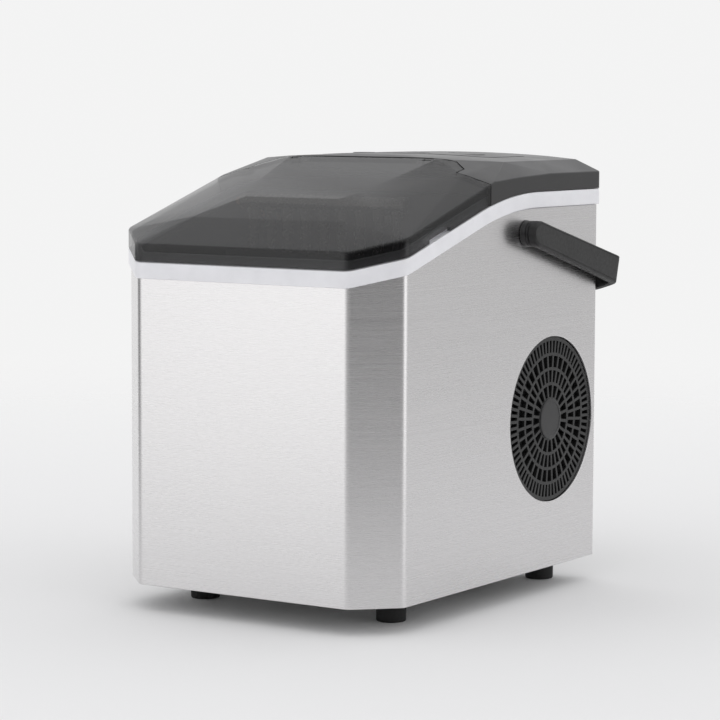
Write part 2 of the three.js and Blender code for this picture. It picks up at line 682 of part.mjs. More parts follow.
function iceBasket() {
  const { x, front, rear, floor, rim, wall } = basket;
  const outer = plate(roundedBar(-x, x, front, rear, 8, 22), floor, rim);
  const lip = plate(roundedBar(-x - 3, x + 3, front - 3, rear + 3, 10, 24), rim - 2.5,
    rim);
  const inner = plate(roundedBar(-x + wall, x - wall, front + wall, rear - wall, 6,
    20), floor + wall, rim + 1);
  const holes = [];
  for (let i = -3; i <= 3; i += 1) {
    for (let j = 0; j < 3; j += 2) {
      holes.push(box(22 * i - 7, 22 * i + 7, front + 12 + 18 * j, front + 16 + 18 * j,
        floor - 1, floor + wall + 1));
    }
  }
  return cut(outer.add(lip), inner, ...holes);
}

function iceEvaporator() {
  const { y, radius, tip, manifold, count, pitch, middle } = finger;
  const half = (pitch * (count - 1)) / 2;
  const bar = rod('x', 5.5, middle - half - 8, middle + half + 8, y, manifold, 12);
  const fingers = [];
  for (let i = 0; i < count; i += 1) {
    fingers.push(turned([
      [0, tip], [radius - 1.6, tip + 0.6], [radius, tip + 3], [radius, manifold], [0, manifold],
    ], middle - half + pitch * i, y, 8));
  }
  return join(bar, ...fingers);
}

function waterTray() {
  const { left, right, front, rear, floor, y, z, wall } = tray;
  const outline = roundedOutline([
    [front, z - 4, 0], [front, floor, 8], [rear, floor, 8], [rear, z - 4, 0],
  ]);
  const inside = roundedOutline([
    [front + wall, z, 0], [front + wall, floor + wall, 6], [rear - wall, floor + wall, 6],
    [rear - wall, z, 0],
  ]);
  const trough = sidePlate(outline, left, right).subtract(
    sidePlate(inside, left + wall, right - wall));
  const ears = join(rod('x', 6, left, left + wall, y, z, 16), rod('x', 6, right - 5, right, y, z, 16));
  const web = join(box(left, left + wall, y - 6, y + 6, z - 14, z),
    box(right - 5, right, y - 6, y + 6, z - 14, z));
  const stub = rod('x', 3, -halfWidth + tubInset - 1, left + 1, y, z, 16);
  return cut(join(trough, ears, web, stub),
    rod('x', driveShaftRadius + 0.3, right - 8, right + 1, y, z, 12));
}

const driveShaftRadius = 2.6;
const gearmotor = { left: tray.right + 6, right: tray.right + 30 };

const driveShaft = () => rod('x', driveShaftRadius, tray.right - 7, gearmotor.left + 8,
  tray.y, tray.z, 12);

function trayGearmotor() {
  const { left, right } = gearmotor;
  const body = box(left, right, tray.y - 16, tray.y + 16, tray.z - 14, tray.z + 14);
  const can = rod('y', 9, tray.y - 32, tray.y - 15, (left + right) / 2, tray.z, 20);
  return cut(body.add(can),
    rod('x', driveShaftRadius + 0.4, left - 1, left + 9, tray.y, tray.z, 12));
}

function iceChute() {
  const top = [[tubRear - tubWall - 2, 192], [basket.rear + 6, 170]];
  const outline = [[top[1][0], top[1][1] - 2], [top[0][0], top[0][1] - 2],
    [top[0][0], top[0][1]], [top[1][0], top[1][1]]].map(([y, z]) => new THREE.Vector2(y, z));
  const slots = [];
  for (let x = -70; x <= 50; x += 12) slots.push(box(x, x + 6, 104, 154, 150, 210));
  return cut(sidePlate(outline, -84, 84), ...slots);
}

const iceSensor = () => join(
  box(-halfWidth + tubInset + tubWall + gap, -basket.x - 5, 50, 66, 196, 214),
  box(-halfWidth + tubInset + tubWall + gap, -basket.x - 3.8, 54, 62, 200, 210));

const levelSensor = () => join(
  rod('z', 8, tubFloor + tubWall + 6, tubFloor + tubWall + 18, 62, 120, 20),
  rod('z', 2.4, tubFloor + tubWall + gap, tubFloor + tubWall + 26, 62, 120, 12));

// ---------------------------------------------------------------- refrigeration
const compressorAt = { x: -52, y: 228, radius: 48, bottom: 30, top: 150 };
const fanX = 84;
const fanRadius = 43;
const motorLength = 22;
const condenserAt = { left: 24, right: 44, front: 184, rear: 276, bottom: 62, top: 190 };

function compressor() {
  const { x, y, radius, bottom, top } = compressorAt;
  const dome = turned([
    [0, bottom], [radius - 12, bottom], [radius - 3, bottom + 6], [radius, bottom + 16],
    [radius, bottom + 58], [radius + 1.5, bottom + 60], [radius + 1.5, bottom + 64],
    [radius, bottom + 66], [radius - 1, top - 24], [radius - 8, top - 8], [radius - 24, top],
    [0, top],
  ], x, y, 22);
  const terminals = box(x + radius - 6, x + radius + 6, y - 18, y + 18, bottom + 26, bottom + 50);
  return dome.add(terminals);
}

const grommetPlaces = [[-98, 182], [-6, 182], [-98, 273]];

function compressorBracket() {
  const plateTop = compressorAt.bottom - gap;
  const base = box(-106, 2, 176, 280, plateTop - 2, plateTop);
  return cut(base, ...grommetPlaces.map(([x, y]) => rod('z', 4.4, 0, 60, x, y, 16)));
}

function grommet(x, y) {
  const bottom = footHeight + panThickness + gap;
  const under = compressorAt.bottom - gap - 2 - gap;
  const top = compressorAt.bottom + 3;
  return turned([
    [0, bottom], [7, bottom], [7, under], [4, under], [4, top - 3 + gap], [6.4, top - 3 + gap],
    [6.4, top], [0, top],
  ], x, y, 10);
}

function condenser() {
  const { left, right, front, rear, bottom, top } = condenserAt;
  const fins = [];
  const pitch = 13;
  for (let y = front; y <= rear; y += pitch) fins.push(box(left, right, y, y + 1.2, bottom, top));
  const tubes = [];
  for (let row = 0; row < 4; row += 1) {
    const z = bottom + 14 + 33 * row;
    tubes.push(rod('y', 3.5, front - 3, rear, (left + right) / 2, z, 6));
  }
  return join(...fins, ...tubes);
}

function fanShroud() {
  const inner = fanRadius + 1.5;
  const x0 = fanX - 6;
  const x1 = grilleInner - gap;
  const ring = rod('x', inner + 2, x0, x1, ventY, ventZ, 32).subtract(
    rod('x', inner, x0 - 1, x1 + 1, ventY, ventZ, 32));
  const struts = [0, 1, 2].map((i) => {
    const turn = (2 * Math.PI * i) / 3 + Math.PI / 2;
    const geometry = new THREE.BoxGeometry(3, inner - 14, 5);
    geometry.translate(0, (inner + 18) / 2, 0).rotateX(turn);
    return solid(geometry.translate(x0 + 1.5, ventY, ventZ));
  });
  const seat = rod('x', 20, x0, x0 + 3, ventY, ventZ, 24).subtract(
    rod('x', 4, x0 - 1, x0 + 4, ventY, ventZ, 16));
  return join(ring, seat, ...struts);
}

function fanMotor() {
  const x1 = fanX - 6 - gap;
  return cut(rod('x', 17, x1 - motorLength, x1, ventY, ventZ, 24),
    rod('x', 2.4 + gap, x1 - 10, x1 + 1, ventY, ventZ, 12));
}

function fanBlade() {
  const hubTo = fanX + 14;
  const hub = rod('x', 13, fanX, hubTo, ventY, ventZ, 24);
  const spindle = rod('x', 2.4, fanX - 7, fanX + 1, ventY, ventZ, 12);
  const reach = fanRadius;
  const blades = [0, 1, 2, 3, 4].map((i) => {
    const geometry = new THREE.BoxGeometry(1.6, reach - 10, 30);
    geometry.rotateY(Math.PI / 9).translate(0, (reach + 10) / 2, 0);
    geometry.rotateX((2 * Math.PI * i) / 5);
    return solid(geometry.translate(fanX + 7, ventY, ventZ));
  });
  const sweep = rod('x', reach, fanX - 1, hubTo + 1, ventY, ventZ, 32);
  return join(hub, spindle, ...blades.map((blade) => blade.intersect(sweep)));
}

function motorBracket() {
  const x1 = fanX - 6 - gap - motorLength - gap;
  return join(box(x1 - 2, x1, ventY - 30, ventY + 30, ventZ - 8, ventZ + 8),
    box(condenserAt.right + gap, x1, ventY - 30, ventY - 27, ventZ - 8, ventZ + 8),
    box(condenserAt.right + gap, x1, ventY + 27, ventY + 30, ventZ - 8, ventZ + 8));
}

const filterDrier = () => turned([
  [0, 168], [3, 168], [4, 174], [9, 180], [9, 222], [4, 228], [3, 234], [0, 234],
], -24, 196, 16);

const capillaryTube = () => pipe([
  [-24, 196, 234.5], [-24, 195, 248], [-40, 186, 258], [-66, 184, lineZ - 6],
  [-74, 182, 258], [-74, 181.8, 250], [-60, 182, 240],
], 1.4, 18, 6);

const suctionLine = () => pipe([
  [suctionX, finger.y + 8, finger.manifold], [suctionX, 134, 272], [suctionX, 152, lineZ],
  [suctionX, 180, lineZ], [-80, 194, 250], [-78, 208, 200], [-76, 216, 162],
  [-76, 218, 150.6],
], 3, 22, 8);

const dischargeLine = () => pipe([
  [-34, 236, 150.6], [-34, 236, 162], [-20, 230, 170], [4, 215, 172], [14, 200, 176],
  [20, 190, 176], [23.2, 186, 176],
], 3, 16, 8);

const hotGasValve = () => join(box(-6, 12, 232, 256, 196, 216), rod('z', 7, 215, 232, 3, 244, 20),
  rod('x', 3.2, -14, 20, 244, 202, 12));

const hotGasLine = () => pipe([
  [-14.4, 244, 202], [-30, 243, 202], [-40, 236, 206], [-44, 226, 214], [-52, 206, 236],
  [-60, 196, 246],
], 2.4, 14, 8);

// ---------------------------------------------------------------- water and control
const pumpAt = { left: 18, right: 58, front: 104, rear: 140 };

function waterPump() {
  const { left, right, front, rear } = pumpAt;
  const floor = footHeight + panThickness + gap;
  return join(box(left, right, front, rear, floor, floor + 22),
    rod('z', 13, floor + 21, floor + 34, (left + right) / 2, (front + rear) / 2, 24),
    rod('y', 4, rear - 1, rear + 8, (left + right) / 2, floor + 10, 16));
}

const pumpHose = () => pipe([
  [38, pumpAt.rear + 8.4, 30.9], [38, 160, 31], [28, 174, 44], [hoseX, 179, 80],
  [hoseX, 180, 150], [hoseX, 180, 240], [hoseX, 177, 255], [hoseX, 170, lineZ],
  [hoseX, 152, lineZ],
], 4, 26, 8);

function controlBoard() {
  const x = -halfWidth + 8;
  const board = box(x, x + 1.6, 190, 274, 166, 244);
  const relay = box(x + 1.5, x + 17, 200, 218, 210, 234);
  const capacitor = rod('x', 8, x + 1.5, x + 20, 240, 222, 20);
  const coil = box(x + 1.5, x + 22, 232, 262, 174, 200);
  const block = box(x + 1.5, x + 12, 196, 222, 172, 182);
  return join(board, relay, capacitor, coil, block);
}

// ---------------------------------------------------------------- the assembly
add('shell', shell(), brushedSteel());
add('base_pan', basePan(), plainSteel());
footPlaces.forEach(({ name, x, y }) => add(name, foot(x, y), rubber()));
add('rear_panel', rearPanel(), blackSatin());
panelScrews.forEach(([x, z], i) => add(`panel_screw_${i + 1}`, panelScrew(x, z), plainSteel()));
add('cord_gland', cordGland(), blackSatin());
add('trim_band', trimBand(), whiteTrim());
add('vent_grille', ventGrille(), blackSatin());
add('drain_plug', drainPlug(), rubber());

add('top_cover', topCover(), blackSatin());
add('lid', lid(), smoke());
sides.forEach(([side, sign]) => add(`hinge_pin_${side}`, hingePin(sign), plainSteel()));
add('control_panel', controlPanel(), blackSatin());
buttons.forEach((spec) => add(spec.name, button(spec), greyPlastic()));
lenses.forEach((spec) => add(spec.name, lensOf(spec), clearPlastic()));
add('display_board', displayBoard(), boardGreen());

const swing = new THREE.Group();
swing.position.set(0, pivotY, pivotZ);
swing.rotation.x = THREE.MathUtils.degToRad(-handleDroop);
machine.add(swing);
add('handle', handle(), blackGrain(), swing);
sides.forEach(([side, sign]) => {
  add(`handle_boss_${side}`, handleBoss(sign), blackSatin());
  add(`handle_screw_${side}`, pivotScrew(sign), plainSteel());
});

add('ice_tub', iceTub(), tubPlastic());
add('insulation_foam', insulation(), foam());
add('ice_basket', iceBasket(), clearPlastic());
add('evaporator', iceEvaporator(), nickel());
add('water_tray', waterTray(), clearPlastic());
add('tray_drive_shaft', driveShaft(), plainSteel());
add('tray_gearmotor', trayGearmotor(), greyPlastic());
add('ice_chute', iceChute(), greyPlastic());
add('ice_full_sensor', iceSensor(), compressorBlack());
add('water_level_sensor', levelSensor(), greyPlastic());

add('compressor', compressor(), compressorBlack());
add('compressor_bracket', compressorBracket(), plainSteel());
grommetPlaces.forEach(([x, y], i) => add(`compressor_grommet_${i + 1}`, grommet(x, y), rubber()));
add('condenser', condenser(), aluminium());
add('fan_shroud', fanShroud(), blackSatin());
add('fan_motor', fanMotor(), plainSteel());
add('fan_blade', fanBlade(), greyPlastic());
add('motor_bracket', motorBracket(), plainSteel());
add('filter_drier', filterDrier(), copper());
add('capillary_tube', capillaryTube(), copper());
add('suction_line', suctionLine(), copper());
add('discharge_line', dischargeLine(), copper());
add('hot_gas_valve', hotGasValve(), nickel());
add('hot_gas_line', hotGasLine(), copper());
add('water_pump', waterPump(), compressorBlack());
add('pump_hose', pumpHose(), hoseSilicone());
add('control_board', controlBoard(), boardGreen());

// The origin is the middle of the overall footprint, on the surface that the feet stand on.
const iceMaker = new THREE.Group();
iceMaker.add(machine);
const overall = new THREE.Box3().setFromObject(iceMaker, true);
machine.position.y = -(overall.min.y + overall.max.y) / 2;

export default iceMaker;
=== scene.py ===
"""Countertop bullet-ice maker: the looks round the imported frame.

Sizes are in millimetres, measured from the front face of the case, as on a drawing. place()
moves a point to the frame's origin, and fit() turns a finished mesh into the frame's metres.
"""

import math

import bmesh
import bpy
from mathutils import Matrix, Vector


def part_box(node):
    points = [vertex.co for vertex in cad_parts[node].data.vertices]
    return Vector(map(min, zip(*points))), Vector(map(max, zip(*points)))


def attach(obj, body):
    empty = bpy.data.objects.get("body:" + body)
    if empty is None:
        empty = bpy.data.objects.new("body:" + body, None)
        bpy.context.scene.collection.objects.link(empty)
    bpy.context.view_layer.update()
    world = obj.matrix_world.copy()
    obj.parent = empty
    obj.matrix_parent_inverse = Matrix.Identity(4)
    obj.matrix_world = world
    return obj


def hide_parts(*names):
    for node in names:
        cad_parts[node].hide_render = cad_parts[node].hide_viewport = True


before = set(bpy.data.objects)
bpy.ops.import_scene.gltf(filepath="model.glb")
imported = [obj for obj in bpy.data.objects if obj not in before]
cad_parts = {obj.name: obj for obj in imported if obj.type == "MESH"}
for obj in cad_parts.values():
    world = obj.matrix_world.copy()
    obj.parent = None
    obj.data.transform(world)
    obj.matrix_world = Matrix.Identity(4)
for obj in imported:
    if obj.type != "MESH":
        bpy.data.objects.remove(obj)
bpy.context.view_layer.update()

# ------------------------------------------------------------------ driving dimensions, mm
MM = 0.001
CASE_LOW, CASE_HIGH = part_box("shell")
BAND_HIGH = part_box("trim_band")[1]
FRONT = CASE_LOW.y / MM
HALF = CASE_HIGH.x / MM
DEPTH = (CASE_HIGH.y - CASE_LOW.y) / MM
FOOT = CASE_LOW.z / MM
RIB_HEIGHT = 5  # the band's inner rib stands this far over its top edge
BAND_TOP = BAND_HIGH.z / MM - RIB_HEIGHT
OVERHANG = (BAND_HIGH.x - CASE_HIGH.x) / MM
GAP = 0.4
CHAMFER = 27
SHEET = 0.8
BAND_HEIGHT = 11
FRONT_BAND_TOP = 238.2
KNEE_Y = DEPTH - 129.2
KNEE_RADIUS = 280
SLOPE = (BAND_TOP - FRONT_BAND_TOP) / KNEE_Y
TOP_WALL = 2.5
SEAM = 0.8
LID_SHOULDER = KNEE_Y - 26.8
LID_REAR = KNEE_Y - 6.8
HINGE_RADIUS = 3.4
HINGE_Y = LID_REAR - HINGE_RADIUS
HINGE_Z = FRONT_BAND_TOP + SLOPE * HINGE_Y + 25.8 - HINGE_RADIUS
BARREL_HALF = 74
NOTCH_X = 86
KNUCKLE = (52, 58)
CROWN_RISE = 25
CROWN_DROP = 0.0004
HIGH = 340


def place(x, y, z):
    return Vector((x, FRONT + y, z))


def centre_of(node):
    """Middle of a CAD node's box, in mm from the front face."""
    low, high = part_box(node)
    return (low + high) / (2 * MM) - Vector((0, FRONT, 0))


# ------------------------------------------------------------------ mesh tools
def rounded(corners, chord=math.radians(7.5)):
    """Corners are (x, y, radius); each round corner becomes an arc of short chords."""
    points = []
    for i, (x, y, radius) in enumerate(corners):
        corner = Vector((x, y))
        if not radius:
            points.append(corner)
            continue
        back = (Vector(corners[i - 1][:2]) - corner).normalized()
        onward = (Vector(corners[(i + 1) % len(corners)][:2]) - corner).normalized()
        half = math.acos(max(-1, min(1, back.dot(onward)))) / 2
        centre = corner + (back + onward).normalized() * radius / math.sin(half)
        start = corner + back * radius / math.tan(half) - centre
        end = corner + onward * radius / math.tan(half) - centre
        sweep = math.atan2(start.x * end.y - start.y * end.x, start.dot(end))
        steps = max(2, math.ceil(abs(sweep) / chord - 0.01))
        for k in range(steps + 1):
            points.append(Matrix.Rotation(sweep * k / steps, 2) @ start + centre)
    return points


def new_object(name, points, faces):
    mesh = bpy.data.meshes.new(name)
    mesh.from_pydata([tuple(p) for p in points], [], faces)
    mesh.validate()
    made = bpy.data.objects.new(name, mesh)
    bpy.context.scene.collection.objects.link(made)
    face_outwards(made)
    return made


def face_outwards(thing):
    work = bmesh.new()
    work.from_mesh(thing.data)
    bmesh.ops.recalc_face_normals(work, faces=work.faces)
    work.to_mesh(thing.data)
    work.free()


def loft(name, rings, round_profile=True, round_rings=True, caps=False):
    """Quads between rings of equal length; round_profile joins the last ring to the first."""
    count = len(rings[0])
    points = [p for ring in rings for p in ring]
    faces = []
    for r in range(len(rings) if round_profile else len(rings) - 1):
        for i in range(count if round_rings else count - 1):
            a, b = r * count, ((r + 1) % len(rings)) * count
            j = (i + 1) % count
            faces.append((a + i, a + j, b + j, b + i))
    if caps:
        faces.append(tuple(range(count)))
        faces.append(tuple(range((len(rings) - 1) * count, len(rings) * count)))
    return new_object(name, points, faces)


def prism(outline, low, high, axis="z"):
    """An outline run along an axis: x, y for z; x, z for y; y, z for x."""
    where = {
        "z": lambda p, d: place(p.x, p.y, d),
        "y": lambda p, d: place(p.x, d, p.y),
        "x": lambda p, d: place(d, p.x, p.y),
    }[axis]
    return loft("tool", [[where(p, d) for p in outline] for d in (low, high)], False, True, True)


def block(x0, x1, y0, y1, z0, z1):
    return prism([Vector(p) for p in ((x0, y0), (x1, y0), (x1, y1), (x0, y1))], z0, z1)


def circle(radius, sides=96, x=0, y=0):
    turns = [2 * math.pi * i / sides for i in range(sides)]
    return [Vector((x + radius * math.cos(t), y + radius * math.sin(t))) for t in turns]


def rod(axis, radius, low, high, a, b, sides=48):
    return prism(circle(radius, sides, a, b), low, high, axis)


def lathe(name, profile, centre, axis, sides=64):
    """A profile of (radius, distance) turned about an axis through centre, all in mm."""
    lengthwise = Vector(axis).normalized()
    across = lengthwise.orthogonal().normalized()
    other = lengthwise.cross(across)
    rings = []
    for radius, distance in profile:
        ring = []
        for i in range(sides):
            turn = 2 * math.pi * i / sides
            spoke = across * math.cos(turn) + other * math.sin(turn)
            p = Vector(centre) + lengthwise * distance + spoke * max(radius, 0.01)
            ring.append(place(*p))
        rings.append(ring)
    return loft(name, rings, False, True, True)


def bake_modifiers(thing):
    bpy.context.view_layer.update()
    graph = bpy.context.evaluated_depsgraph_get()
    mesh = bpy.data.meshes.new_from_object(thing.evaluated_get(graph))
    thing.modifiers.clear()
    thing.data = mesh


def combine(thing, *tools, operation="DIFFERENCE"):
    for tool in tools:
        change = thing.modifiers.new("combine", "BOOLEAN")
        change.operation = operation
        change.solver = "EXACT"
        change.object = tool
        bake_modifiers(thing)
        bpy.data.objects.remove(tool)
    return thing


def cut(thing, *tools):
    return combine(thing, *tools)


def keep(thing, *tools):
    return combine(thing, *tools, operation="INTERSECT")


def join(thing, *tools):
    return combine(thing, *tools, operation="UNION")


def convex(points):
    """A bmesh of the convex hull round the points."""
    work = bmesh.new()
    for p in points:
        work.verts.new(p)
    bmesh.ops.remove_doubles(work, verts=work.verts, dist=0.002)
    bmesh.ops.convex_hull(work, input=work.verts)
    bmesh.ops.delete(work, geom=[v for v in work.verts if not v.link_faces], context="VERTS")
    bmesh.ops.recalc_face_normals(work, faces=work.faces)
    work.normal_update()
    return work


def hull(points, radius=0.0):
    """The convex form round the points, grown by radius with its edges rounded to it."""
    work = convex(points)
    if radius:
        grown = []
        for edge in work.edges:
            first, second = (face.normal for face in edge.link_faces)
            steps = max(1, round(first.angle(second) / math.radians(15)))
            for k in range(steps + 1):
                push = first.lerp(second, k / steps).normalized() * radius
                grown.extend(vert.co + push for vert in edge.verts)
        for vert in work.verts:
            grown.append(vert.co + vert.normal.normalized() * radius)
        work.free()
        work = convex(grown)
    mesh = bpy.data.meshes.new("hull")
    work.to_mesh(mesh)
    work.free()
    made = bpy.data.objects.new("hull", mesh)
    bpy.context.scene.collection.objects.link(made)
    return made


def smooth_group():
    """A modifier group that shades smooth, with a crease at every edge past its angle."""
    group = bpy.data.node_groups.new("smooth_by_angle", "GeometryNodeTree")
    group.interface.new_socket("Geometry", in_out="INPUT", socket_type="NodeSocketGeometry")
    group.interface.new_socket("Angle", in_out="INPUT", socket_type="NodeSocketFloat")
    group.interface.new_socket("Geometry", in_out="OUTPUT", socket_type="NodeSocketGeometry")
    nodes, links = group.nodes, group.links
    start, end = nodes.new("NodeGroupInput"), nodes.new("NodeGroupOutput")
    faces, edges = nodes.new("GeometryNodeSetShadeSmooth"), nodes.new("GeometryNodeSetShadeSmooth")
    edges.domain = "EDGE"
    edges.inputs["Shade Smooth"].default_value = False
    angle, compare = nodes.new("GeometryNodeInputMeshEdgeAngle"), nodes.new("FunctionNodeCompare")
    links.new(start.outputs["Geometry"], faces.inputs["Geometry"])
    links.new(faces.outputs["Geometry"], edges.inputs["Geometry"])
    links.new(angle.outputs["Unsigned Angle"], compare.inputs["A"])
    links.new(start.outputs["Angle"], compare.inputs["B"])
    links.new(compare.outputs["Result"], edges.inputs["Selection"])
    links.new(edges.outputs["Geometry"], end.inputs["Geometry"])
    return group


SMOOTH = smooth_group()


def shade(thing, bevel=0.0, angle=32, segments=2):
    """Rounds the edges a little and shades the faces; sizes in mm and degrees."""
    weld = thing.modifiers.new("weld", "WELD")
    weld.merge_threshold = 0.00002
    if bevel:
        edge = thing.modifiers.new("edge", "BEVEL")
        edge.width = bevel * MM
        edge.segments = segments
        edge.limit_method = "ANGLE"
        edge.angle_limit = math.radians(40)
    smooth = thing.modifiers.new("smooth", "NODES")
    smooth.node_group = SMOOTH
    smooth[SMOOTH.interface.items_tree["Angle"].identifier] = math.radians(angle)
    weighted = thing.modifiers.new("normals", "WEIGHTED_NORMAL")
    weighted.keep_sharp = True


def fit(thing, name, material, body, slot, *nodes, bevel=0.0, angle=32):
    """Names a finished piece, dresses it and hands it to its body."""
    thing.name = name
    thing.data.name = name
    thing.data.transform(Matrix.Scale(MM, 4))
    thing.data.materials.clear()
    thing.data.materials.append(material)
    shade(thing, bevel, angle)
    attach(thing, body)
    if nodes:
        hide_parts(*nodes)
    return thing


# ------------------------------------------------------------------ materials
class Look:
    """A short way to build one procedural material on a Principled shader."""

    def __init__(self, name, metallic=0.0, roughness=0.5, **sockets):
        self.material = bpy.data.materials.new(name)
        self.material.use_nodes = True
        tree = self.material.node_tree
        self.nodes, self.links = tree.nodes, tree.links
        self.shader = self.nodes["Principled BSDF"]
        self.set("Metallic", metallic)
        self.set("Roughness", roughness)
        for socket, value in sockets.items():
            self.set(socket.replace("_", " "), value)
        self.coordinates = self.nodes.new("ShaderNodeTexCoord").outputs["Object"]

    def set(self, socket, value):
        self.shader.inputs[socket].default_value = value

    def stretched(self, scale):
        mapping = self.nodes.new("ShaderNodeMapping")
        mapping.inputs["Scale"].default_value = scale
        self.links.new(self.coordinates, mapping.inputs["Vector"])
        return mapping.outputs["Vector"]

    def noise(self, scale, detail=3.0, stretch=(1, 1, 1), roughness=0.55):
        node = self.nodes.new("ShaderNodeTexNoise")
        node.inputs["Scale"].default_value = scale
        node.inputs["Detail"].default_value = detail
        node.inputs["Roughness"].default_value = roughness
        self.links.new(self.stretched(stretch), node.inputs["Vector"])
        return node.outputs["Fac"]

    def cells(self, scale):
        node = self.nodes.new("ShaderNodeTexVoronoi")
        node.feature = "SMOOTH_F1"
        node.inputs["Scale"].default_value = scale
        self.links.new(self.coordinates, node.inputs["Vector"])
        return node.outputs["Distance"]

    def ramp(self, factor, low, high, start=0.3, end=0.7):
        node = self.nodes.new("ShaderNodeValToRGB")
        node.color_ramp.elements[0].position = start
        node.color_ramp.elements[0].color = (*low, 1)
        node.color_ramp.elements[1].position = end
        node.color_ramp.elements[1].color = (*high, 1)
        self.links.new(factor, node.inputs["Fac"])
        return node.outputs["Color"]

    def spread(self, factor, low, high):
        node = self.nodes.new("ShaderNodeMapRange")
        node.inputs["From Min"].default_value = 0.3
        node.inputs["From Max"].default_value = 0.7
        node.inputs["To Min"].default_value = low
        node.inputs["To Max"].default_value = high
        self.links.new(factor, node.inputs["Value"])
        return node.outputs["Result"]

    def colour(self, factor, low, high):
        self.links.new(self.ramp(factor, low, high), self.shader.inputs["Base Color"])

    def rough(self, factor, low, high):
        self.links.new(self.spread(factor, low, high), self.shader.inputs["Roughness"])

    def bump(self, factor, strength, distance):
        node = self.nodes.new("ShaderNodeBump")
        node.inputs["Strength"].default_value = strength
        node.inputs["Distance"].default_value = distance
        self.links.new(factor, node.inputs["Height"])
        self.links.new(node.outputs["Normal"], self.shader.inputs["Normal"])


def grey(value, tint=(1.0, 1.0, 1.0)):
    return tuple(value * t for t in tint)


def brushed_steel():
    look = Look("brushed_steel", 1.0, 0.27, Anisotropic=0.6, Anisotropic_Rotation=0.25)
    tangent = look.nodes.new("ShaderNodeTangent")
    tangent.direction_type = "RADIAL"
    tangent.axis = "Z"
    look.links.new(tangent.outputs["Tangent"], look.shader.inputs["Tangent"])
    strokes = look.noise(1.0, 4.0, (7, 7, 2400), 0.7)
    look.colour(strokes, grey(0.69, (1.0, 0.985, 0.99)), grey(0.73, (1.0, 0.985, 0.99)))
    look.rough(strokes, 0.25, 0.30)
    look.bump(look.noise(1.0, 3.0, (14, 14, 3200), 0.6), 0.03, 0.0002)
    return look.material


def plain_metal(name, tone, roughness, tint=(1.0, 1.0, 1.0), scale=260):
    look = Look(name, 1.0, roughness)
    patches = look.noise(scale, 4.0)
    look.colour(patches, grey(tone * 0.86, tint), grey(tone, tint))
    look.rough(look.noise(scale * 3), roughness - 0.05, roughness + 0.1)
    look.bump(look.noise(scale * 6), 0.08, 0.0002)
    return look.material


def moulded(name, tone, roughness, grain=900, strength=0.12, tint=(1.0, 1.0, 1.0), **sockets):
    """Injection-moulded plastic: nearly even colour over a fine spark-eroded texture."""
    look = Look(name, 0.0, roughness, **sockets)
    look.colour(look.noise(60, 3.0), grey(tone * 0.93, tint), grey(tone, tint))
    look.rough(look.noise(35, 3.0), roughness - 0.03, roughness + 0.05)
    look.bump(look.noise(grain, 2.0), strength, 0.0002)
    return look.material


def smoke_lid():
    look = Look("smoke_lid", 0.0, 0.07, Alpha=0.62, IOR=1.49)
    look.colour(look.noise(25, 2.0), grey(0.005, (1.0, 0.98, 1.06)), grey(0.007, (1.0, 0.98, 1.06)))
    look.rough(look.noise(12, 2.0), 0.05, 0.1)
    return look.material


def clear_plastic():
    look = Look("clear_plastic", 0.0, 0.2, Alpha=0.4, IOR=1.5)
    look.colour(look.noise(40, 2.0), (0.34, 0.36, 0.38), (0.40, 0.42, 0.44))
    look.bump(look.noise(90, 2.0), 0.04, 0.0003)
    return look.material


def handle_grain():
    look = Look("black_grain", 0.0, 0.55)
    look.colour(look.noise(50, 3.0), grey(0.012), grey(0.017))
    look.rough(look.noise(400, 2.0), 0.48, 0.62)
    look.bump(look.cells(2400), 0.5, 0.0002)
    return look.material


STEEL = brushed_steel()
ZINC = plain_metal("zinc_steel", 0.58, 0.36)
NICKEL = plain_metal("nickel_plate", 0.66, 0.22, (1.0, 0.96, 0.88), 120)
COPPER = plain_metal("copper_tube", 0.74, 0.3, (1.0, 0.55, 0.36), 90)
ALUMINIUM = plain_metal("aluminium_fin", 0.7, 0.4)
WHITE = moulded("white_trim", 0.93, 0.36, 1500, 0.05, (0.985, 0.985, 1.02))
BLACK = moulded("black_satin", 0.017, 0.34, 1300, 0.1, (1.0, 0.99, 1.03))
GRILLE = moulded("black_grille", 0.012, 0.42, 1300, 0.1)
GRAIN = handle_grain()
SMOKE = smoke_lid()
CLEAR = clear_plastic()
RUBBER = moulded("black_rubber", 0.014, 0.75, 700, 0.25)
TUB = moulded("tub_plastic", 0.055, 0.4, 800, 0.1, (0.97, 1.0, 1.06))
FOAM = moulded("foam_beads", 0.78, 0.9, 260, 0.6, (1.0, 0.98, 0.93))
COMPRESSOR = moulded("compressor_paint", 0.018, 0.38, 300, 0.15)
KEY_GREY = moulded("key_grey", 0.16, 0.42, 1100, 0.1)
BOARD = moulded("board_green", 0.10, 0.45, 500, 0.1, (0.3, 1.0, 0.5))
SILICONE = moulded("silicone_hose", 0.62, 0.5, 200, 0.1, (1.0, 0.98, 0.94))


# ------------------------------------------------------------------ the forms of the case
STATIONS = [KNEE_Y - 44 + 4 * i for i in range(23)]


def case_outline(grow):
    """Plan of the case, grown outwards or, when negative, inwards; side points line up."""
    side = HALF + grow
    step = grow * (math.sqrt(2) - 1)
    corner_x = HALF - CHAMFER + step
    corner_y = CHAMFER - step
    soft = max(8 + grow, 1)
    hard = max(4 + grow, 1)
    front = rounded([
        (-corner_x, -grow, soft), (corner_x, -grow, soft), (side, corner_y, soft),
        (side, DEPTH + grow, hard), (-side, DEPTH + grow, hard), (-side, corner_y, soft),
    ])
    points = []
    for p, q in zip(front, front[1:] + front[:1]):
        points.append(p)
        if abs(q.y - p.y) > DEPTH / 2:
            ladder = STATIONS if q.y > p.y else STATIONS[::-1]
            points.extend(Vector((p.x, y)) for y in ladder)
    return points


